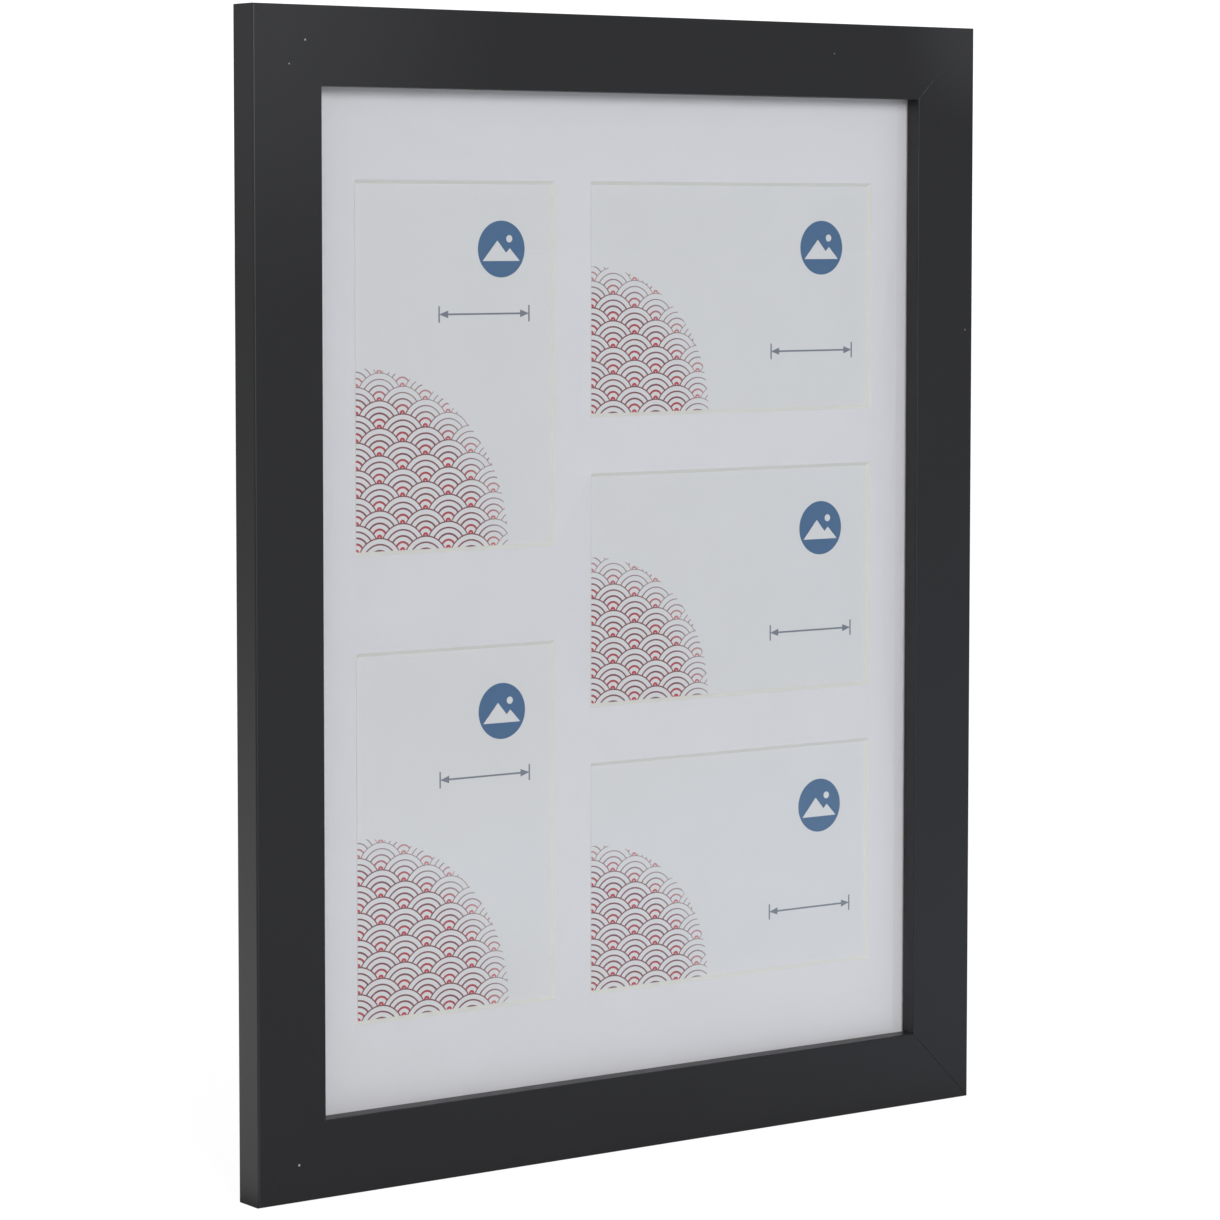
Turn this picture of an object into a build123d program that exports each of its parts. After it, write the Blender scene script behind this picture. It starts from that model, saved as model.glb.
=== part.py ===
from build123d import *
import math
import os

# A collage photo frame that hangs on a wall: a mitred black moulding that holds a pane of glass,
# a mat with five bevelled windows, five photo cards taped behind it and a backing board.
# Eight turn buttons on the back hold the board in, and two sawtooth hangers take the nail.
# All sizes are in millimetres. X runs to the viewer's right, Y from the front to the wall, Z up.
# The origin is on the frame's back face, at the middle notch of the upper hanger.

# Moulding
frame_width = 350.0
frame_height = 450.0
face_width = 30.0
lip_depth = 7.0
rabbet_width = 6.0
front_arris_radius = 0.8
sight_arris_radius = 0.5
back_arris_radius = 0.4
mitre_groove = 0.12

# What the rabbet holds, from the front
glass_thickness = 2.0
glass_edge_chamfer = 0.3
mat_thickness = 1.4
card_thickness = 0.3
tape_thickness = 0.1
board_thickness = 3.0
board_edge_chamfer = 0.4
board_recess = 0.2
pane_clearance = 1.0
pane_shift = 0.5

# Photo cards and the windows in the mat
photo_short = 100.0
window_overlap = 5.0
mat_side_border = 25.0
mat_end_border = 40.0
column_gap = 20.0
portrait_gap = 40.0
landscape_gap = 25.0
bevel_angle = 45.0
tape_width = 18.0
tape_reach = 6.0
tape_place_share = 0.3

# V nails that pull each mitre together from the back
nail_leg = 5.0
nail_thickness = 0.4
nail_depth = 7.0
nail_place_shares = (0.36, 0.76)

# Turn buttons
button_thickness = 0.9
button_width = 9.0
button_tip_width = 6.0
button_reach = 16.0
button_axis_inset = 7.0
button_bend_reach = 12.0
button_lift = 1.2
button_rib_width = 1.8
button_rib_height = 0.35
button_rib_start = 5.0
button_rib_end = 11.0
button_rib_taper = 30.0
button_play = 0.05
button_place_share = 0.25

# Pan-head screws of the turn buttons and of the hangers
button_screw_radius = 1.6
button_screw_length = 8.0
button_head_radius = 3.2
button_head_height = 1.9
button_head_rim = 0.7
hanger_screw_radius = 1.2
hanger_screw_length = 7.0
hanger_head_radius = 2.4
hanger_head_height = 1.4
hanger_head_rim = 0.5
screw_point_length = 2.0
recess_width = 0.8
recess_reach_share = 0.6
recess_depth_share = 0.55

# Sawtooth hangers
hanger_length = 45.0
hanger_height = 9.5
hanger_thickness = 0.8
hanger_tab = 8.0
hanger_ramp = 2.5
hanger_rise = 1.6
hanger_bend_radius = 0.6
hanger_corner_radius = 1.5
hanger_screw_inset = 3.5
hanger_hole_play = 0.1
tooth_pitch = 3.0
tooth_width = 2.4
tooth_depth = 1.2
tooth_count = 7

# Directions
right = Axis.X.direction
rear = Axis.Y.direction
up = Axis.Z.direction

# The rabbet is as deep as all that it holds, and the moulding is as deep as lip and rabbet
rabbet_depth = (
    glass_thickness + mat_thickness + card_thickness + tape_thickness + board_thickness + board_recess
)
moulding_depth = lip_depth + rabbet_depth
back_width = face_width - rabbet_width

# Front faces of the layers, as Y
front_y = -moulding_depth
glass_y = front_y + lip_depth
mat_y = glass_y + glass_thickness
card_y = mat_y + mat_thickness
tape_y = card_y + card_thickness
board_y = tape_y + tape_thickness

# The frame hangs below the upper hanger's middle notch
hanger_inset = back_width / 2
frame_top_z = hanger_inset + hanger_height / 2 - tooth_depth
frame_middle = Vector(0, 0, frame_top_z - frame_height / 2)

# The glass, the mat and the board stand on the bottom of the rabbet
pane_width = frame_width - 2 * (back_width + pane_clearance)
pane_height = frame_height - 2 * (back_width + pane_clearance)
pane_middle = frame_middle + right * pane_shift - up * pane_clearance

# Two upright windows at the left and three lying ones at the right fill the mat inside its borders.
# The upright ones are as wide as their photos allow, and the lying ones take the rest.
block_width = pane_width - 2 * mat_side_border
block_height = pane_height - 2 * mat_end_border
upright_width = photo_short - 2 * window_overlap
upright_height = (block_height - portrait_gap) / 2
lying_width = block_width - column_gap - upright_width
lying_height = (block_height - 2 * landscape_gap) / 3
left_column_x = (upright_width - block_width) / 2
right_column_x = (block_width - lying_width) / 2
upright_row_z = (block_height - upright_height) / 2
lying_row_z = (block_height - lying_height) / 2

# Each photo: the place of its window's middle on the mat, and the window's width and height
windows = {
    "photo_upper_left": (left_column_x, upright_row_z, upright_width, upright_height),
    "photo_lower_left": (left_column_x, -upright_row_z, upright_width, upright_height),
    "photo_upper_right": (right_column_x, lying_row_z, lying_width, lying_height),
    "photo_middle_right": (right_column_x, 0, lying_width, lying_height),
    "photo_lower_right": (right_column_x, -lying_row_z, lying_width, lying_height),
}

# Each photo again, with the card's width and height, which reach under the mat on all sides
photos = {
    name: (x, z, width + 2 * window_overlap, height + 2 * window_overlap)
    for name, (x, z, width, height) in windows.items()
}

# Each side of the moulding: the way from it to the frame's middle, and its outer length
members = {
    "top_rail": (-up, frame_width),
    "bottom_rail": (up, frame_width),
    "left_stile": (right, frame_height),
    "right_stile": (-right, frame_height),
}

# Each turn button: the side that carries it, and which way it lies from that side's middle
button_sides = {
    "turn_button_top_left": ("top_rail", -right),
    "turn_button_top_right": ("top_rail", right),
    "turn_button_bottom_left": ("bottom_rail", -right),
    "turn_button_bottom_right": ("bottom_rail", right),
    "turn_button_left_upper": ("left_stile", up),
    "turn_button_left_lower": ("left_stile", -up),
    "turn_button_right_upper": ("right_stile", up),
    "turn_button_right_lower": ("right_stile", -up),
}

# Each hanger and the side that carries it
hanger_sides = {"hanger_portrait": "top_rail", "hanger_landscape": "right_stile"}


def edge_middle(inward):
    """The middle of a side's outer edge, on the frame's back face."""
    half = frame_width / 2 if inward.X else frame_height / 2
    return frame_middle - inward * half


def back_plane(side, inset, along=Vector()):
    """The frame's back face at a place on one side, with local Y to the middle and local Z to the wall."""
    inward = members[side][0]
    place = edge_middle(inward) + inward * inset + along
    return Plane(origin=place, x_dir=inward.cross(rear), z_dir=rear)


def pane_plane(y, x=0, z=0):
    """A plane that faces the viewer at depth y, at a place on the panes, with local Y up."""
    return Plane(origin=pane_middle + right * x + up * z + rear * y, x_dir=right, z_dir=-rear)


def pan_head_screw(plane, radius, length, head_radius, head_height, head_rim, seat):
    """A screw driven into the back face at the plane's origin, with its head on a seat above that face."""
    with BuildPart() as screw:
        with BuildSketch(Plane(origin=plane.origin, x_dir=plane.x_dir, z_dir=-plane.y_dir)):
            with BuildLine():
                top = (0, seat + head_height)
                rim = (head_radius, seat + head_rim)
                TangentArc(top, rim, tangent=(1, 0))
                Polyline(
                    rim,
                    (head_radius, seat),
                    (radius, seat),
                    (radius, screw_point_length - length),
                    (0, -length),
                    top,
                )
            make_face()
        revolve(axis=Axis(plane.origin, plane.z_dir))
        with BuildSketch(plane.offset(seat + head_height)):
            recess_length = 2 * head_radius * recess_reach_share
            Rectangle(recess_length, recess_width)
            Rectangle(recess_width, recess_length)
        extrude(amount=-head_height * recess_depth_share, mode=Mode.SUBTRACT)
    return screw.part


def make_turn_button(name, plane):
    """A steel button that lies on the frame's back, reaches over the board and turns on its screw."""
    with BuildPart() as button:
        with BuildSketch(Plane(origin=plane.origin, x_dir=plane.y_dir, z_dir=plane.x_dir)):
            underside = [
                (-button_width / 2, button_play),
                (button_bend_reach, button_play),
                (button_reach, button_play + button_lift),
            ]
            upper_side = [(x, y + button_thickness) for x, y in reversed(underside)]
            with BuildLine():
                Polyline(*underside, *upper_side, close=True)
            make_face()
        extrude(amount=button_width / 2, both=True)
        with BuildSketch(plane):
            Circle(button_width / 2)
            with Locations((0, button_reach - button_tip_width / 2)):
                Circle(button_tip_width / 2)
            make_hull()
        extrude(amount=button_play + button_lift + 2 * button_thickness, mode=Mode.INTERSECT)
        with BuildSketch(plane.offset(button_play + button_thickness)):
            with Locations((0, (button_rib_start + button_rib_end) / 2)):
                SlotOverall(button_rib_end - button_rib_start, button_rib_width, rotation=90)
        extrude(amount=button_rib_height, taper=button_rib_taper)
        with Locations(plane.offset(button_thickness)):
            Hole(button_screw_radius + button_play)
    button.part.label = name
    export_step(button.part, f"parts/{name}.step")


def make_hanger(name, plane):
    """A steel strap with its middle raised off the frame's back and a row of notches for the nail."""
    half = hanger_length / 2
    with BuildPart() as hanger:
        with BuildSketch(Plane(origin=plane.origin, x_dir=plane.x_dir, z_dir=-plane.y_dir)) as profile:
            underside = [
                (-half, 0),
                (-half + hanger_tab, 0),
                (-half + hanger_tab + hanger_ramp, hanger_rise),
                (half - hanger_tab - hanger_ramp, hanger_rise),
                (half - hanger_tab, 0),
                (half, 0),
            ]
            upper_side = [(x, y + hanger_thickness) for x, y in reversed(underside)]
            with BuildLine():
                Polyline(*underside, *upper_side, close=True)
            make_face()
            bends = profile.vertices().filter_by(lambda corner: abs(corner.X) < half - hanger_tab / 2)
            fillet(bends, hanger_bend_radius)
        extrude(amount=hanger_height / 2, both=True)
        fillet(hanger.edges().filter_by(Axis.Y), hanger_corner_radius)
        with BuildSketch(plane):
            with Locations((0, hanger_height / 2)):
                with GridLocations(tooth_pitch, tooth_pitch, tooth_count, 1):
                    Polygon(
                        (-tooth_width / 2, 0),
                        (0, -tooth_depth),
                        (tooth_width / 2, 0),
                        align=None,
                    )
        extrude(amount=hanger_rise + 2 * hanger_thickness, mode=Mode.SUBTRACT)
        with Locations(plane.offset(hanger_thickness)):
            with GridLocations(hanger_length - 2 * hanger_screw_inset, hanger_height, 2, 1):
                Hole(hanger_screw_radius + hanger_hole_play)
    hanger.part.label = name
    export_step(hanger.part, f"parts/{name}.step")


def make_v_nails():
    """Two V-shaped nails across the back of each mitre, with one leg in the rail and one in the stile."""
    with BuildPart() as v_nails:
        for side in (-1, 1):
            for level in (-1, 1):
                for share in nail_place_shares:
                    inset = share * back_width
                    place = frame_middle + right * side * (frame_width / 2 - inset)
                    place = place + up * level * (frame_height / 2 - inset)
                    with BuildSketch(Plane(origin=place, x_dir=right, z_dir=-rear)):
                        with BuildLine():
                            Polyline(
                                (0, 0),
                                (side * nail_leg, 0),
                                (side * nail_leg, level * nail_thickness),
                                (side * nail_thickness, level * nail_thickness),
                                (side * nail_thickness, level * nail_leg),
                                (0, level * nail_leg),
                                close=True,
                            )
                        make_face()
                    extrude(amount=nail_depth)
    v_nails.part.label = "v_nails"
    export_step(v_nails.part, "parts/v_nails.step")
    return v_nails.part


def make_screws(name, screws):
    """Screws of one kind, each a solid of its own."""
    with BuildPart() as group:
        add(screws)
    group.part.label = name
    export_step(group.part, f"parts/{name}.step")
    return group.part


def make_member(name, inward, length, hardware):
    """One side of the moulding, mitred at both ends and rebated at the back for what it holds."""
    run = inward.cross(rear)
    front_edge = edge_middle(inward) + rear * front_y
    with BuildPart() as member:
        with BuildSketch(Plane(origin=front_edge, x_dir=inward, z_dir=run)) as section:
            with BuildLine():
                Polyline(
                    (0, 0),
                    (face_width, 0),
                    (face_width, lip_depth),
                    (back_width, lip_depth),
                    (back_width, moulding_depth),
                    (0, moulding_depth),
                    close=True,
                )
            make_face()
            fillet(section.vertices().sort_by_distance((0, 0))[0], front_arris_radius)
            fillet(section.vertices().sort_by_distance((face_width, 0))[0], sight_arris_radius)
            fillet(section.vertices().sort_by_distance((0, moulding_depth))[0], back_arris_radius)
        extrude(amount=length / 2, both=True)
        for end in (-1, 1):
            corner = front_edge + run * end * length / 2
            split(bisect_by=Plane(origin=corner, z_dir=inward + run * end), keep=Keep.BOTTOM)
            with BuildSketch(Plane(origin=corner, x_dir=rear, z_dir=inward - run * end)):
                with BuildLine():
                    Polyline((0, -mitre_groove), (mitre_groove, 0), (0, mitre_groove), close=True)
                make_face()
            extrude(amount=2 * face_width, mode=Mode.SUBTRACT)
        add(hardware, mode=Mode.SUBTRACT)
    member.part.label = name
    export_step(member.part, f"parts/{name}.step")


def make_glass_pane():
    """The glass, with its sharp edges taken off."""
    with BuildPart() as glass_pane:
        with BuildSketch(pane_plane(glass_y)):
            Rectangle(pane_width, pane_height)
        extrude(amount=-glass_thickness)
        chamfer(glass_pane.faces().filter_by(Axis.Y).edges(), glass_edge_chamfer)
    glass_pane.part.label = "glass_pane"
    export_step(glass_pane.part, "parts/glass_pane.step")


def make_mat_board():
    """The mat, whose windows widen towards the viewer."""
    bevel = mat_thickness * math.tan(math.radians(bevel_angle))
    with BuildPart() as mat_board:
        with BuildSketch(pane_plane(mat_y)):
            Rectangle(pane_width, pane_height)
        extrude(amount=-mat_thickness)
        for x, z, width, height in windows.values():
            with BuildSketch(pane_plane(mat_y, x, z)):
                Rectangle(width + 2 * bevel, height + 2 * bevel)
            extrude(amount=-mat_thickness, taper=bevel_angle, mode=Mode.SUBTRACT)
    mat_board.part.label = "mat_board"
    export_step(mat_board.part, "parts/mat_board.step")


def make_photo(name, x, z, width, height):
    """A photo card behind one window of the mat."""
    with BuildPart() as photo:
        with BuildSketch(pane_plane(card_y, x, z)):
            Rectangle(width, height)
        extrude(amount=-card_thickness)
    photo.part.label = name
    export_step(photo.part, f"parts/{name}.step")


def make_photo_tapes():
    """Two strips of tape at the top of each card, stepped down from the card's back to the mat's."""
    with BuildPart() as photo_tapes:
        for x, z, width, height in photos.values():
            for side in (-1, 1):
                shift = right * (x + side * width * tape_place_share) + up * (z + height / 2)
                with BuildSketch(Plane(origin=pane_middle + shift, x_dir=up, z_dir=-right)):
                    with BuildLine():
                        Polyline(
                            (-tape_reach, tape_y),
                            (0, tape_y),
                            (0, card_y),
                            (tape_reach, card_y),
                            (tape_reach, card_y + tape_thickness),
                            (tape_thickness, card_y + tape_thickness),
                            (tape_thickness, board_y),
                            (-tape_reach, board_y),
                            close=True,
                        )
                    make_face()
                extrude(amount=tape_width / 2, both=True)
    photo_tapes.part.label = "photo_tapes"
    export_step(photo_tapes.part, "parts/photo_tapes.step")


def make_backing_board():
    """The board that closes the back, with eased edges towards the wall."""
    with BuildPart() as backing_board:
        with BuildSketch(pane_plane(board_y)):
            Rectangle(pane_width, pane_height)
        extrude(amount=-board_thickness)
        chamfer(backing_board.faces().sort_by(Axis.Y)[-1].edges(), board_edge_chamfer)
    backing_board.part.label = "backing_board"
    export_step(backing_board.part, "parts/backing_board.step")


os.makedirs("parts", exist_ok=True)

# Turn buttons on the four sides, with their screws
button_planes = {
    name: back_plane(side, back_width - button_axis_inset, way * members[side][1] * button_place_share)
    for name, (side, way) in button_sides.items()
}
for name, plane in button_planes.items():
    make_turn_button(name, plane)
button_screws = [
    pan_head_screw(
        plane,
        button_screw_radius,
        button_screw_length,
        button_head_radius,
        button_head_height,
        button_head_rim,
        button_thickness + 2 * button_play,
    )
    for plane in button_planes.values()
]
turn_button_screws = make_screws("turn_button_screws", button_screws)

# Hangers, with a screw through each tab
hanger_screw_planes = []
for name, side in hanger_sides.items():
    plane = back_plane(side, hanger_inset)
    make_hanger(name, plane)
    for end in (-1, 1):
        way = plane.x_dir * end * (hanger_length / 2 - hanger_screw_inset)
        hanger_screw_planes.append(back_plane(side, hanger_inset, way))
small_screws = [
    pan_head_screw(
        plane,
        hanger_screw_radius,
        hanger_screw_length,
        hanger_head_radius,
        hanger_head_height,
        hanger_head_rim,
        hanger_thickness,
    )
    for plane in hanger_screw_planes
]
hanger_screws = make_screws("hanger_screws", small_screws)

# The moulding, with a slot for each nail and a hole for each screw
v_nails = make_v_nails()
for name, (inward, length) in members.items():
    make_member(name, inward, length, [v_nails, turn_button_screws, hanger_screws])

# What the rabbet holds
make_glass_pane()
make_mat_board()
for name, (x, z, width, height) in photos.items():
    make_photo(name, x, z, width, height)
make_photo_tapes()
make_backing_board()
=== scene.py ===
# %% [markdown]
# # A collage photo frame
#
# This lesson dresses a finished CAD model of a picture frame: black mitred moulding, a pane of glass, a
# mat with five windows and five printed cards, closed behind by a board under turn buttons. The shapes
# come from the CAD model and stay as they are. What is left to make is how things look: the camera, one
# finish for each material, and the studio.
#
# The model is loaded first. Blender's lengths are in metres. X runs to the right, Y from the front to the
# wall, and Z up.

# %% Load the model
import math
from functools import reduce

import bpy
import numpy as np
from mathutils import Matrix, Vector


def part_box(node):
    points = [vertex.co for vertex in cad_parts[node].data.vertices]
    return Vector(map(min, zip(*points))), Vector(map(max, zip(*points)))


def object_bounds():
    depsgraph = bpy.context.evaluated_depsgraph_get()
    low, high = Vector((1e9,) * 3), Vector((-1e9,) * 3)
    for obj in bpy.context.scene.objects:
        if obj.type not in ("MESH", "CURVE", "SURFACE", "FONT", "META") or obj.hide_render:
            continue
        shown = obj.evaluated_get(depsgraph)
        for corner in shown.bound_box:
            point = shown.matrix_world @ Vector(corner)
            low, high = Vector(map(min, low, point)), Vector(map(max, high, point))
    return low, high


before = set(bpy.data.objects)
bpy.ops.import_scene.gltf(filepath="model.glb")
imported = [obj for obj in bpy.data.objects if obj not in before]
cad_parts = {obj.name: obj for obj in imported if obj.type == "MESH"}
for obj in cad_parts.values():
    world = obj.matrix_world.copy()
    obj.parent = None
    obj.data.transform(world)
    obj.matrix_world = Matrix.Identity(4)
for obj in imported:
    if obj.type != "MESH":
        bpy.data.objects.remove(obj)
cad_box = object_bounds()

mm = 0.001
low, high = cad_box
print("nodes:", len(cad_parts), "- size in mm:", [round(v / mm, 1) for v in high - low])

# %% [markdown]
# ## Where the pieces are
#
# Most finishes follow the frame's own lines: foil ends a few millimetres in from an outer edge, and print
# is laid out from a window's corner. So the places of these lines are read from the model once, as boxes
# of its nodes, and kept as plain numbers in millimetres.

# %% Read places from the model
rail_low, rail_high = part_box("top_rail")
foot_low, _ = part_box("bottom_rail")
face_y = rail_low.y / mm
centre_x = (rail_low.x + rail_high.x) / 2 / mm
centre_z = (rail_high.z + foot_low.z) / 2 / mm
half_width = (rail_high.x - rail_low.x) / 2 / mm
half_height = (rail_high.z - foot_low.z) / 2 / mm
face_width = (rail_high.z - rail_low.z) / mm
outside = [round(2 * half, 2) for half in (half_width, half_height)]
print("frame", outside, "mm outside, face", round(face_width, 2), "mm wide")

# %% [markdown]
# ## Camera
#
# The picture is taken with a long lens, from the left and a little above the middle of the frame. A
# camera can be placed by eye, but then edges come to lie some pixels off. This one's numbers come from a
# fit to the corners of the moulding in the photograph: the focal length in pixels, how far the frame is
# turned and tipped to the lens, and where the middle of its front face lies from the lens.
#
# The photograph is cut from a larger picture, which calls for a shifted lens. Other views keep the shift,
# so most of it is made up for by a tilt of the camera, and only 100 pixels of it are left.
#
# Turned and tipped is two rotation matrices. Turned back, they take the lens into the frame's own axes.

# %% Place the camera
photo_side = 1220
focal_pixels = 4203
shift_pixels = 100
yaw, pitch, roll = (math.radians(angle) for angle in (35.98, 3.926, 0.032))
lens_to_face = Vector((10.0, 1663.8, -30.8)) * mm
face_middle = Vector((centre_x, face_y, centre_z)) * mm

turned = Matrix.Rotation(pitch, 3, "X") @ Matrix.Rotation(yaw, 3, "Z")
turned_back = turned.transposed()
looking = turned_back @ Matrix.Rotation(math.radians(90), 3, "X") @ Matrix.Rotation(roll, 3, "Z")

camera_data = bpy.data.cameras.new("camera")
camera_data.sensor_width = 36
camera_data.lens = focal_pixels / photo_side * camera_data.sensor_width
camera_data.shift_y = -shift_pixels / photo_side
camera_data.clip_start = 0.01
camera = bpy.data.objects.new("camera", camera_data)
camera.matrix_world = Matrix.Translation(face_middle - turned_back @ lens_to_face) @ looking.to_4x4()
bpy.context.scene.collection.objects.link(camera)
bpy.context.scene.camera = camera
print("lens", round(camera_data.lens, 1), "mm, at", [round(v, 3) for v in camera.location])

# %% [markdown]
# ## Shader maths
#
# A finish is a sum of small patterns: a mask here, a fleck there. In Blender each plus sign is a Math
# node. Adding nodes one by one hides the sums, so a small class wraps a socket and lets Python's own
# operators add the nodes: `1 - mask * 0.2` makes two of them. Every other kind of node comes from one
# method, `node`.

# %% A socket that can be reckoned with
class Signal:
    """One output socket in a node tree. Operators on it add Math nodes to the same tree."""

    def __init__(self, tree, socket=None):
        self.tree = tree
        self.socket = socket

    def node(self, kind, settings=(), inputs=(), out=0):
        """Adds a node of a kind: its settings first, then the values or links of its sockets."""
        made = self.tree.nodes.new(kind)
        for name, value in dict(settings).items():
            setattr(made, name, value)
        for key, value in dict(inputs).items():
            if isinstance(value, Signal):
                self.tree.links.new(value.socket, made.inputs[key])
            else:
                made.inputs[key].default_value = value
        return Signal(self.tree, made.outputs[out] if made.outputs else None)

    def math(self, operation, *values):
        """A Math node on these values, in the order of its sockets."""
        return self.node("ShaderNodeMath", {"operation": operation}, enumerate(values))

    def __add__(self, other):
        return self.math("ADD", self, other)

    def __sub__(self, other):
        return self.math("SUBTRACT", self, other)

    def __mul__(self, other):
        return self.math("MULTIPLY", self, other)

    def __truediv__(self, other):
        return self.math("DIVIDE", self, other)

    def __mod__(self, other):
        return self.math("FLOORED_MODULO", self, other)

    def __lt__(self, other):
        return self.math("LESS_THAN", self, other)

    def __gt__(self, other):
        return self.math("GREATER_THAN", self, other)

    def __rsub__(self, other):
        return self.math("SUBTRACT", other, self)

    def __abs__(self):
        return self.math("ABSOLUTE", self)

    __radd__ = __add__
    __rmul__ = __mul__

    def squared(self):
        return self * self

    def root(self):
        return self.math("SQRT", self)

    def least(self, other):
        return self.math("MINIMUM", self, other)

    def most(self, other):
        return self.math("MAXIMUM", self, other)

    def rise(self, start, end):
        """0 below start and 1 above end, with a smooth slope between. With end below start it falls."""
        settings = {"interpolation_type": "SMOOTHSTEP"}
        return self.node("ShaderNodeMapRange", settings, {0: self, 1: start, 2: end})


methods = [name.strip("_") for name, item in vars(Signal).items() if callable(item)]
print("methods of a signal:", ", ".join(methods))

# %% [markdown]
# ## Colours
#
# Colours are written as a screen shows them, from 0 to 255, and turned into the linear values that
# Blender reckons with. A Math node would turn a colour grey, so colours are mixed and darkened in Mix
# nodes.

# %% Colours
def paint(red, green, blue):
    """A screen colour, 0 to 255, as linear red, green, blue and alpha.

    Above 0.04045 the screen's curve is a power of 2.4, and below it a straight line."""
    shown = np.array([red, green, blue]) / 255
    linear = np.where(shown <= 0.04045, shown / 12.92, ((shown + 0.055) / 1.055) ** 2.4)
    return (*linear.tolist(), 1.0)


def mix(mask, off, on):
    """The colour off where mask is 0 and on where it is 1."""
    settings = {"data_type": "RGBA", "clamp_factor": True}
    return mask.node("ShaderNodeMix", settings, {0: mask, 6: off, 7: on}, out=2)


def shade(colour, level):
    """A colour made lighter or darker by a number, alike in red, green and blue."""
    settings = {"data_type": "RGBA", "blend_type": "MULTIPLY", "clamp_factor": True}
    grey = level.node("ShaderNodeCombineColor", (), {0: level, 1: level, 2: level})
    return level.node("ShaderNodeMix", settings, {0: 1.0, 6: colour, 7: grey}, out=2)


print("a screen's middle grey in linear light:", round(paint(128, 128, 128)[0], 3))

# %% [markdown]
# ## Patterns
#
# A pattern is placed by the point it lies on, in millimetres, read from Object coordinates. All the
# objects here sit at the origin, so these are the frame's own axes, and a pattern runs on from one piece
# to the next. Noise makes most of the patterns: small or wide, even or drawn out one way.

# %% Places and patterns
def start_material(name):
    """An empty material, and a signal with the place on its surface in millimetres."""
    material = bpy.data.materials.new(name)
    material.use_nodes = True
    material.node_tree.nodes.clear()
    place = Signal(material.node_tree).node("ShaderNodeTexCoord", out="Object")
    return material, place.node("ShaderNodeVectorMath", {"operation": "SCALE"}, {0: place, "Scale": 1 / mm})


def axes(place):
    """The three numbers of a place."""
    parts = place.node("ShaderNodeSeparateXYZ", (), {0: place})
    outputs = parts.socket.node.outputs
    return [Signal(place.tree, outputs[name]) for name in "XYZ"]


def distance(place, point):
    """How far a place is from a point, in millimetres."""
    return place.node("ShaderNodeVectorMath", {"operation": "DISTANCE"}, {0: place, 1: point}, out=1)


def stretch(place, along):
    """The place with its axes divided by these lengths: a pattern on it is drawn out along the longest."""
    return place.node("ShaderNodeVectorMath", {"operation": "DIVIDE"}, {0: place, 1: along})


def noise(place, size, detail=2.0, rough=0.5):
    """Soft random spots of a size in millimetres, from 0 to 1 with a mean of a half."""
    inputs = {"Vector": place, "Scale": 1 / size, "Detail": detail, "Roughness": rough}
    return place.node("ShaderNodeTexNoise", (), inputs)


def relief(height, depth):
    """A bump: a height of 1 stands for depth in millimetres."""
    return height.node("ShaderNodeBump", (), {"Height": height, "Distance": depth * mm})


print("patterns are placed in millimetres:", 1 / mm, "to the metre")

# %% [markdown]
# ## Materials
#
# Each finish ends in one Principled shader. Only what changes over the surface is linked to it. What is
# the same all over is a plain number on the shader's own socket.

# %% Ending a material and putting it on
def finish_material(material, colour, roughness, normal=None, **fixed):
    """Ends a material in one Principled shader. Fixed sockets are plain numbers on the shader itself."""
    end = Signal(material.node_tree)
    inputs = {"Base Color": colour, "Roughness": roughness}
    if normal is not None:
        inputs["Normal"] = normal
    inputs |= {name.replace("_", " "): value for name, value in fixed.items()}
    shader = end.node("ShaderNodeBsdfPrincipled", (), inputs)
    end.node("ShaderNodeOutputMaterial", (), {"Surface": shader})
    print(material.name, "-", len(material.node_tree.nodes), "nodes")
    return material


def wear(material, *nodes):
    """Puts the material in every slot of these nodes of the model."""
    for name in nodes:
        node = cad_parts[name]
        if not node.material_slots:
            node.data.materials.append(material)
        for slot in node.material_slots:
            slot.material = material


print("nodes to dress:", ", ".join(sorted(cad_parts)))

# %% [markdown]
# ## Moulding: satin black foil over fibreboard
#
# A frame like this is a strip of fibreboard wrapped in a thin printed foil. The foil covers the front,
# the outer side and the sight edge, and ends a few millimetres in on the back. The rabbet and the rest of
# the back stay raw and brown. All four lengths share one material, because a mask by place tells foil
# from raw board.
#
# The mask needs the way in from the frame's outer edge: half the width less |x|, or half the height less
# |z|, whichever is less. The same two numbers tell which length a point lies on, and so which way its
# faint grain runs, and they are equal on the mitres.

# %% Lines of the moulding
foil_wrap = 4.0
lip_depth = 7.0
rabbet_edge = 24.0
hair = 0.03


def moulding_lines(place):
    """The way in from the outer edge, a mask of the upright lengths, the way off the mitre, and a mask of
    raw board: the back past the foil's ragged end, and the rabbet.

    A hair is taken off each line, so that a face that lies right on it counts as past it."""
    x, y, z = axes(place)
    from_side = half_width - abs(x - centre_x)
    from_end = half_height - abs(z - centre_z)
    inset = from_side.least(from_end)
    ragged = noise(place, 1.2) * 0.7 - 0.35
    raw_back = (y > -hair) * (inset + ragged > foil_wrap)
    raw_rabbet = (y > face_y + lip_depth - hair) * (inset > rabbet_edge - hair)
    return inset, from_side < from_end, abs(from_side - from_end), raw_back.most(raw_rabbet)


def along_length(place, upright, long, size, detail):
    """Noise drawn out along each length of moulding: up and down on the stiles, sideways on the rails."""
    lying_noise = noise(stretch(place, (long, 1, 1)), size, detail)
    upright_noise = noise(stretch(place, (1, 1, long)), size, detail)
    return upright * upright_noise + (1 - upright) * lying_noise


print("raw board starts", foil_wrap, "mm in on the back, and", rabbet_edge, "mm in under the lip")
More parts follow.
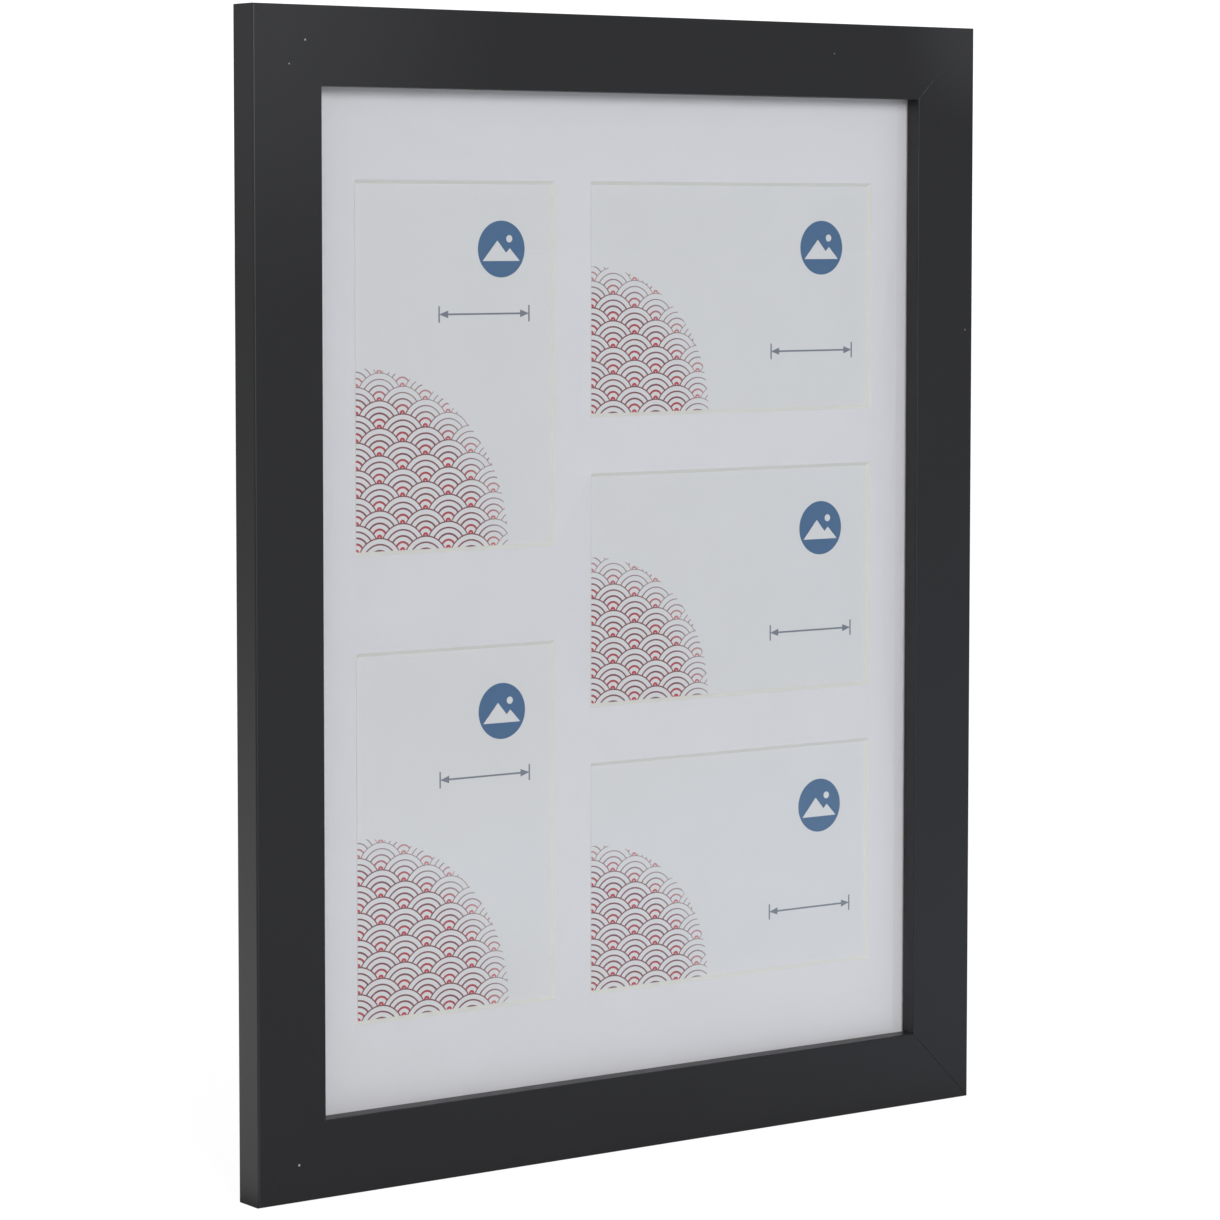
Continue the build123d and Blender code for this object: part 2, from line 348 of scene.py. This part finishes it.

# %% [markdown]
# New foil is one even black. Over it lie a few specks of dust and the foil's own cut edge at the mitres,
# which is paler than its face. The upper corners are painted a little paler as well: that is painted sheen.
# At the upper left mitre the cut edge is painted paler still, as painted light over the shade of the seam.
# At the upper right mitre the inner end is rubbed as well, so it shows most. The specks and the cut edges
# are too fine for the mesh. The distance to a point gives the painted sheen and the specks, and the way
# off the mitre gives the cut edges.

# %% Foil
foil_black, foil_edge = paint(23, 23, 26), paint(120, 120, 122)
# The first grey is painted sheen for the upper corners, the second is dust.
painted_sheen_grey, speck_grey = paint(176, 176, 182), paint(176, 176, 178)
# How far the painted sheen reaches from each upper corner, in millimetres.
painted_sheen_reach = [(centre_x - half_width, 125), (centre_x + half_width, 45)]
speck_places = [
    (-152.3, 2.5, 0.55), (-159.3, -6.5, 0.4), (-157.1, -420.2, 0.65),
    (100.2, 3.3, 0.3), (171.0, -109.8, 0.35),
]


def foil_colour(place, inset, off_mitre, grain, pores, clouds):
    """Black with a faint grain, then painted sheen, specks and cut edges over it.

    The painted sheen is a pale tint that falls off with the distance from an upper corner. Each speck is a
    soft dot of its own radius. The cut edge at the upper left is paler still, as painted light over the
    seam."""
    x, _, z = axes(place)
    foil = shade(foil_black, 0.88 + grain * 0.16 + clouds * 0.1)
    # Painted sheen: towards each upper corner the black is mixed a little towards pale grey, standing in for
    # light.
    for corner_x, reach in painted_sheen_reach:
        from_corner = distance(place, (corner_x, face_y, centre_z + half_height))
        painted_sheen = from_corner.rise(reach, 5) * (0.8 + pores * 0.4)
        foil = mix(painted_sheen * 0.035, foil, painted_sheen_grey)

    dots = [
        distance(place, (speck_x, face_y, speck_z)).rise(radius, radius * 0.4)
        for speck_x, speck_z, radius in speck_places
    ]
    foil = mix(reduce(Signal.most, dots) * 0.8, foil, speck_grey)

    upper = z > centre_z
    # Cut edges are paler at the upper mitres. On the left they are painted paler still, as painted light
    # over the seam's shade.
    cut_edge_and_painted_light = upper * off_mitre.rise(0.3, 0.1) * (0.06 + (x < centre_x) * 0.08)
    worn_corner = upper * (x > centre_x) * 0.35
    rubbed = worn_corner * off_mitre.rise(0.4, 0.1) * inset.rise(16, 26) * noise(place, 3, 3).rise(0.3, 0.6)
    return mix(cut_edge_and_painted_light.most(rubbed), foil, foil_edge)


print("specks:", len(speck_places), "- haze reaches", [reach for _, reach in painted_sheen_reach], "mm from a corner")

# %% [markdown]
# Raw fibreboard is pale flecks in brown, stained in clouds, with the saw's lines along each length: three
# noises of different sizes, and the last of them drawn out. At a mitre some glue has been pressed out,
# and the joint itself is a dark hairline on the back.

# %% Fibreboard
board_dark, board_light = paint(142, 108, 74), paint(188, 154, 114)
glue_yellow, joint_dark = paint(196, 170, 120), paint(48, 34, 24)


def board_colour(place, upright, off_mitre, joint, flecks, clouds):
    """Brown with flecks, saw lines, and glue and the joint at the mitre."""
    saw_lines = along_length(place, upright, 40, 0.6, 2)
    board = mix(flecks.rise(0.35, 0.7), board_dark, board_light)
    board = shade(board, 0.82 + clouds * 0.22 + saw_lines * 0.14)
    glue = off_mitre.rise(1.6, 0.5) * noise(place, 2.2, 3).rise(0.45, 0.65)
    return mix(joint * 0.85, mix(glue * 0.45, board, glue_yellow), joint_dark)


def moulding_finish():
    """Foil and board, told apart by the raw mask. Foil is satin, and lies a little above the raw board."""
    material, place = start_material("foil_over_fibreboard")
    inset, upright, off_mitre, raw = moulding_lines(place)
    joint = off_mitre.rise(0.22, 0.06)
    grain = along_length(place, upright, 14, 0.5, 3)
    pores, clouds, flecks = noise(place, 0.35, 2), noise(place, 45, 2), noise(place, 0.8, 4, 0.7)

    foil = foil_colour(place, inset, off_mitre, grain, pores, clouds)
    board = board_colour(place, upright, off_mitre, joint, flecks, clouds)
    foil_roughness = 0.35 + clouds * 0.06 + pores * 0.06
    roughness = raw * 0.85 + (1 - raw) * foil_roughness
    foil_height = grain * 0.8 + pores * 0.5 + 3
    board_height = flecks * 6 - joint * 8
    normal = relief(raw * board_height + (1 - raw) * foil_height, 0.008)
    return finish_material(material, mix(raw, foil, board), roughness, normal, Specular_IOR_Level=0.5)


wear(moulding_finish(), "top_rail", "bottom_rail", "left_stile", "right_stile")

# %% [markdown]
# ## Glass
#
# The pane is clear glass, which bends and mirrors light. Lamps can't shine through bent light in a path
# tracer without a lot of noise, so rays that only ask whether a lamp is in view, and rays that carry soft
# light, go straight through. The eye's rays still meet real glass. Fine smudges change nothing but the
# roughness.

# %% Clear glass
glass_tint = (0.985, 0.995, 0.99, 1)


def glass_finish():
    """Glass for the eye, and nothing at all for rays that light what is behind it."""
    material, place = start_material("clear_glass")
    end = Signal(material.node_tree)
    smudges = noise(stretch(place, (3, 1, 1)), 20, 3, 0.6).rise(0.5, 0.8)
    inputs = {"Base Color": glass_tint, "Roughness": smudges * 0.03, "IOR": 1.5, "Transmission Weight": 1.0}
    glass = end.node("ShaderNodeBsdfPrincipled", (), inputs)
    straight = end.node("ShaderNodeBsdfTransparent")
    for ray in ("Is Shadow Ray", "Is Diffuse Ray"):
        is_ray = end.node("ShaderNodeLightPath", out=ray)
        glass = end.node("ShaderNodeMixShader", (), {0: is_ray, 1: glass, 2: straight})
    end.node("ShaderNodeOutputMaterial", (), {"Surface": glass})
    print(material.name, "-", len(material.node_tree.nodes), "nodes")
    return material


wear(glass_finish(), "glass_pane")

# %% [markdown]
# ## Mat: white board with a cream cut
#
# Mat board is a cream core between two sheets of paper. The windows are cut at 45 degrees, so the core
# shows as a narrow frame round each window. The board is one solid, so one material covers both, and
# faces that lean tell the cut from the paper: on them the normal points neither straight out nor
# sideways. The paper has a fine tooth, and the core shows the thin plies it is pressed from.

# %% Mat board
paper_white, core_cream = paint(213, 213, 218), paint(218, 219, 214)


def mat_finish():
    """Paper where the face is flat, and the core where it leans."""
    material, place = start_material("mat_board")
    facing = axes(place.node("ShaderNodeNewGeometry", (), (), out="True Normal"))[1]
    cut = (abs(facing) > 0.5) * (abs(facing) < 0.9)
    tooth = noise(place, 0.5, 3, 0.6)
    cloud = noise(place, 30, 2)
    plies = noise(stretch(place, (20, 1, 20)), 0.25, 1)
    paper = shade(paper_white, 0.97 + cloud * 0.03 + tooth * 0.03)
    core = shade(core_cream, 0.93 + plies * 0.14)
    normal = relief(tooth * (1 - cut) + plies * cut, 0.02)
    roughness = 0.75 + tooth * 0.1
    return finish_material(material, mix(cut, paper, core), roughness, normal, Specular_IOR_Level=0.3)


wear(mat_finish(), "mat_board")

# %% [markdown]
# ## Printed cards
#
# Each card carries a plain sample print of its own: a field of wave scales, an old repeating pattern, in
# dark red lines, a blue disc with two hills, and a mark like the ones that give a length on a drawing.
# All of it is worked out at each point rather than read from a picture, so it stays sharp in a close
# view.
#
# Wave scales are rows of discs like roof tiles, each row half a radius above the one before it and moved
# by one radius, with the lower row in front. At a point, three rows can be in view. Each disc is a set of
# rings, so all that is needed is the distance to the middle of the frontmost disc that the point lies in.

# %% Wave scales
scale_radius = 10.5
ring_share = 0.22


def scale_distance(across, up, row):
    """How far a point is from the nearest disc of a row, in radii.

    Discs lie two radii apart, and odd rows are moved by one."""
    odd = row % 2
    beside = (across - odd + 1) % 2 - 1
    above = up - row * 0.5
    return (beside.squared() + above.squared()).root()


def wave_scales(across, up):
    """The distance, in radii, to the middle of the frontmost disc.

    The lowest row that can reach a point has its middles at most one radius below it."""
    lowest = up.math("FLOOR", up * 2) - 1
    front, middle, back = (scale_distance(across, up, lowest + step) for step in range(3))
    in_front, in_middle = front < 1, middle < 1
    return in_front * front + (1 - in_front) * (in_middle * middle + (1 - in_middle) * back)


print("scales", 2 * scale_radius, "mm wide, rings", round(ring_share * scale_radius, 2), "mm apart")

# %% [markdown]
# The marks are masks, 1 inside and 0 outside. A product of two masks is what lies in both, the larger of
# the two is what lies in either, and 1 less a mask is what lies outside it. A point is in a disc where
# the squares of its two distances add up to less than the radius squared.

# %% Marks on the cards
disc_radius = 11
mark_half, mark_line = 21, 0.7
arrow_long, arrow_slope, tick_half = 4.2, 0.36, 3.2


def disc_mark(u, v, radius):
    """A disc, and the hills and sun left white in it. Their numbers are shares of the radius.

    A hill is all below a roof line, whose height falls evenly to both sides."""
    disc = u.squared() + v.squared() < radius**2
    hill = 0.3 * radius - abs(u + 0.17 * radius) * 1.15
    low_hill = 0.03 * radius - abs(u - 0.36 * radius) * 1.05
    hills = (hill.most(low_hill) > v) * (v > -0.42 * radius)
    sun = (u - 0.34 * radius).squared() + (v - 0.36 * radius).squared() < (0.13 * radius) ** 2
    return disc * (1 - hills.most(sun))


def length_mark(u, v, half, line):
    """A line with an arrow head and a tick at each end. A head narrows evenly to its tip."""
    reach = abs(u)
    shaft = (abs(v) < line / 2) * (reach < half - line)
    head = (reach > half - arrow_long) * (abs(v) < (half - reach) * arrow_slope)
    tick = (abs(reach - half) < line / 2) * (abs(v) < tick_half)
    return shaft.most(head).most(tick)


print("disc", 2 * disc_radius, "mm wide, length mark", 2 * mark_half, "mm long")

# %% [markdown]
# One function prints any card. The mat covers 5 mm of a card on each side, so the window's corner is that
# far in from the card's own corner, and the pattern is laid out from there. It is a quarter round, and
# its lines get thinner and paler towards its rim.

# %% Print the cards
mat_overlap = 5.0
card_white, disc_blue, mark_grey = paint(210, 211, 214), paint(54, 94, 134), paint(70, 84, 104)
scale_dull, scale_red = paint(118, 62, 70), paint(182, 50, 64)
upright_print = {"field": 70, "disc": (22, 45), "mark": (14, 20)}
lying_print = {"field": 58, "disc": (46, 20), "mark": (41, -22)}


def card_finish(name, field, disc, mark):
    """A card with wave scales in its lower left corner, as far as the field's radius.

    The places of the disc and the mark are from the window's middle, in millimetres."""
    lowest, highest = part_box(name)
    card_x, card_z = (lowest.x + highest.x) / 2 / mm, (lowest.z + highest.z) / 2 / mm
    half_w = (highest.x - lowest.x) / 2 / mm - mat_overlap
    half_h = (highest.z - lowest.z) / 2 / mm - mat_overlap
    material, place = start_material("print_" + name)
    x, _, z = axes(place)
    u, v = x - card_x, z - card_z

    from_left, from_foot = u + half_w, v + half_h
    corner = (from_left.squared() + from_foot.squared()).root()
    depth = wave_scales(from_left / scale_radius, from_foot / scale_radius)
    ring = ((1 - depth) / ring_share) % 1
    fade = corner.rise(field, field - 16)
    line = 0.13 + 0.09 * fade + (1 - depth) * 0.2
    ink = (ring < line) * (corner < field)
    red = mix(depth.rise(0.55, 0.15), scale_dull, scale_red)

    card = shade(card_white, 0.985 + noise(place, 25, 2) * 0.03)
    colour = mix(ink * (0.72 + 0.28 * fade), card, red)
    colour = mix(disc_mark(u - disc[0], v - disc[1], disc_radius), colour, disc_blue)
    colour = mix(length_mark(u - mark[0], v - mark[1], mark_half, mark_line) * 0.85, colour, mark_grey)

    tooth = noise(place, 0.3, 2)
    roughness = 0.38 + tooth * 0.08
    return finish_material(material, colour, roughness, relief(tooth, 0.004), Specular_IOR_Level=0.4)


for name in ("photo_upper_left", "photo_lower_left"):
    wear(card_finish(name, **upright_print), name)
for name in ("photo_upper_right", "photo_middle_right", "photo_lower_right"):
    wear(card_finish(name, **lying_print), name)

# %% [markdown]
# ## Tape
#
# Two strips of masking tape hold each card. Its paper is creped: fine wrinkles run across the strip. They
# are too fine for the mesh, so a bump and a change of roughness draw them.

# %% Masking tape
tape_cream = paint(226, 208, 164)


def tape_finish():
    """Cream paper with wrinkles, which are noise drawn out sideways."""
    material, place = start_material("masking_tape")
    crepe = noise(stretch(place, (6, 1, 1)), 0.35, 2)
    cloud = noise(place, 6, 2)
    colour = shade(tape_cream, 0.9 + crepe * 0.1 + cloud * 0.06)
    roughness = 0.6 + crepe * 0.15
    return finish_material(material, colour, roughness, relief(crepe, 0.05), Specular_IOR_Level=0.4)


wear(tape_finish(), "photo_tapes")

# %% [markdown]
# ## Hardboard
#
# The backing board is hardboard: wood fibres pressed smooth and dark on the face. Noise drawn out one way
# looks like combed fibres. Three such noises, turned by 60 degrees each, cross like fibres that lie at
# random, once the place is bent by a wide soft noise. A few dark flecks are bits of bark.

# %% Hardboard
fibre_dark, fibre_light, bark_dark = paint(104, 72, 46), paint(152, 112, 76), paint(66, 46, 30)
fibre_turns = (10, 70, 130)
bend_size = 5.0


def combed(place, turn, long, size):
    """Noise drawn out one way in the board's plane: the place is turned about Y, then divided along X."""
    inputs = {"Vector": place, "Angle": math.radians(turn)}
    turned_place = place.node("ShaderNodeVectorRotate", {"rotation_type": "Y_AXIS"}, inputs)
    return noise(stretch(turned_place, (long, 1, 1)), size, 4, 0.6)


def hardboard_finish():
    """Fibres are the least of three combed noises, so that dark ones lie over pale ones."""
    material, place = start_material("pressed_hardboard")
    wide = {"Vector": place, "Scale": 1 / bend_size, "Detail": 1.0}
    bend = place.node("ShaderNodeTexNoise", (), wide, out=1)
    bend = place.node("ShaderNodeVectorMath", {"operation": "SCALE"}, {0: bend, "Scale": bend_size})
    bent = place.node("ShaderNodeVectorMath", {"operation": "ADD"}, {0: place, 1: bend})
    fibres = reduce(Signal.least, [combed(bent, turn, 4, 0.45) for turn in fibre_turns])
    bark = noise(place, 1.6, 2, 0.6).rise(0.66, 0.74)
    cloud = noise(place, 60, 3)
    colour = mix(fibres.rise(0.27, 0.55), fibre_dark, fibre_light)
    colour = shade(mix(bark, colour, bark_dark), 0.85 + cloud * 0.3)
    roughness = 0.5 + fibres * 0.25
    return finish_material(material, colour, roughness, relief(fibres, 0.06), Specular_IOR_Level=0.45)


wear(hardboard_finish(), "backing_board")

# %% [markdown]
# ## Steel
#
# The fittings are stamped from zinc-plated strip. Plating is a little cloudy, and the strip keeps the
# fine lines that it was rolled with. On parts this small they show in the gloss alone, so they go into
# the roughness and a faint bump. One function makes each kind with its own colour, roughness and lines.

# %% Zinc-plated steel
lines_along_x, lines_along_y, no_lines = (10, 1, 1), (1, 8, 1), (1, 1, 1)


def steel_finish(name, tint, rough, lines):
    """Metal of a tint, a little clouded. Its lines are fine noise drawn out along one axis."""
    material, place = start_material(name)
    rolled = noise(stretch(place, lines), 0.15, 2)
    cloud = noise(place, 2.5, 3, 0.6)
    colour = shade(tint, 0.9 + cloud * 0.12 + rolled * 0.06)
    roughness = rough - 0.08 + cloud * 0.12 + rolled * 0.08
    return finish_material(material, colour, roughness, relief(rolled, 0.004), Metallic=1.0)


button_zinc = steel_finish("button_zinc", paint(206, 206, 200), 0.36, lines_along_x)
hanger_zinc = steel_finish("hanger_zinc", paint(200, 200, 196), 0.34, lines_along_x)
screw_zinc = steel_finish("screw_zinc", paint(214, 210, 198), 0.26, no_lines)
v_nail_steel = steel_finish("v_nail_steel", paint(176, 176, 178), 0.42, lines_along_y)

screws = ("turn_button_screws", "hanger_screws")
buttons = [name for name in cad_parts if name.startswith("turn_button_") and name not in screws]
wear(button_zinc, *buttons)
wear(hanger_zinc, "hanger_portrait", "hanger_landscape")
wear(screw_zinc, *screws)
wear(v_nail_steel, "v_nails")

# %% [markdown]
# ## Studio
#
# The photograph has a pure white ground and hardly any shadow, as on a light table: a pale sheet that
# glows. To the eye it is plain white. Satin foil and glass show what they mirror, so the table's glow
# isn't the same all over. It is strong behind the frame and along its left side, which the moulding's
# outer side mirrors, and has a cooler patch at the right in front, which the lower right of the moulding
# mirrors.
#
# Matte surfaces get a little more of the glow than gloss does. That lights the cuts of the mat that face
# down.

# %% Floor
floor_half, floor_lines = 40.0, 9
plain_light, cool_light, seen_light = (1, 1, 1, 1), (0.76, 0.87, 1.0, 1), (0.9, 0.9, 0.9, 1)
table_white = paint(148, 148, 150)
table_glow, matte_glow, cool_glow, back_glow, strip_share = 0.18, 0.2, 0.36, 0.72, 0.72

# Each slope of the glow: where it is none and where it is full, in millimetres to the right or to the back
strip_left, strip_back = (-176, -196), (-200, -20)
behind_near, behind_far = (0, 200), (1500, 800)
cool_right, cool_back, cool_front = (0, 350), (20, -60), (-1300, -500)


def floor_mesh(name, half, level, lines):
    """A level grid of squares: x and y run evenly from -half to half, and z is the same everywhere."""
    line = np.linspace(-half, half, lines)
    x, y = (part.ravel() for part in np.meshgrid(line, line))
    points = np.stack([x, y, np.full_like(x, level)], axis=1)
    first = (np.arange(lines - 1)[:, None] * lines + np.arange(lines - 1)).ravel()
    squares = np.stack([first, first + 1, first + lines + 1, first + lines], axis=1)
    mesh = bpy.data.meshes.new(name)
    mesh.from_pydata(points.tolist(), [], squares.tolist())
    made = bpy.data.objects.new(name, mesh)
    bpy.context.scene.collection.objects.link(made)
    return made


def floor_finish():
    """A matte white sheet that glows. Each part of its glow is a product of slopes, so it has soft ends."""
    material, place = start_material("light_table")
    cloud = noise(place, 400, 2)
    right, back, _ = axes(place)
    beside = right.rise(*strip_left) * back.rise(*strip_back) * strip_share
    behind = back.rise(*behind_near).most(beside) * back.rise(*behind_far)
    cool = right.rise(*cool_right) * back.rise(*cool_back) * back.rise(*cool_front)
    seen = place.node("ShaderNodeLightPath", out="Is Camera Ray")
    matte = place.node("ShaderNodeLightPath", out="Is Diffuse Ray")
    level = table_glow + matte * matte_glow + cool * cool_glow + behind * back_glow
    glow = mix(seen, shade(mix(cool, plain_light, cool_light), level), seen_light)
    white = shade(table_white, 0.98 + cloud * 0.02)
    fixed = {"Emission_Color": glow, "Emission_Strength": 1.0}
    return finish_material(material, white, 0.9, Specular_IOR_Level=0.1, **fixed)


floor = floor_mesh("floor", floor_half, low.z, floor_lines)
floor.data.materials.append(floor_finish())

# %% [markdown]
# The mat tells where the other light comes from. Under the top rail it is dark for a few millimetres, and
# beside the right stile it isn't, so the main lamp is a wide one in front, a little to the left and 18
# degrees up. A second, faint lamp at the right is seen by gloss alone: it gives the foil the soft sheen
# that grows towards the top, and doesn't light the mat.

# %% Light
def sun_lamp(name, energy, turn, rise, width):
    """Light from a direction, turned to the right of straight in front and raised. Angles are in degrees.

    To the right is the sine of the turn and to the front its cosine, both times the cosine of the rise."""
    turn, rise, width = (math.radians(angle) for angle in (turn, rise, width))
    to_lamp = Vector((math.sin(turn) * math.cos(rise), -math.cos(turn) * math.cos(rise), math.sin(rise)))
    data = bpy.data.lights.new(name, "SUN")
    data.energy = energy
    data.angle = width
    lamp = bpy.data.objects.new(name, data)
    lamp.matrix_world = to_lamp.to_track_quat("Z", "Y").to_matrix().to_4x4()
    bpy.context.scene.collection.objects.link(lamp)
    print(name, energy, "W/m2 from", [round(v, 2) for v in to_lamp])
    return lamp


sun_lamp("soft_lamp", 1.66, turn=-12, rise=18, width=26)
gloss_lamp = sun_lamp("gloss_lamp", 0.15, turn=20, rise=22, width=18)
gloss_lamp.visible_diffuse = False

# %% [markdown]
# The glass mirrors the table in its lower part and the room in its upper part. So the room is about as
# bright as the table in front, and no line shows where they meet. To the eye it is plain white as well.

# %% Room
room_white = (0.98, 0.99, 1.0, 1)
room_light, room_seen = 0.35, 1.2

world = bpy.data.worlds.new("white_room")
world.use_nodes = True
world.node_tree.nodes.clear()
room = Signal(world.node_tree)
seen = room.node("ShaderNodeLightPath", out="Is Camera Ray")
strength = room_light + seen * (room_seen - room_light)
glow = room.node("ShaderNodeBackground", (), {"Color": room_white, "Strength": strength})
room.node("ShaderNodeOutputWorld", (), {"Surface": glow})
bpy.context.scene.world = world
bpy.context.scene.view_settings.view_transform = "Standard"
print("room", world.name, "at", room_light, "and to the eye", room_seen)

# %% [markdown]
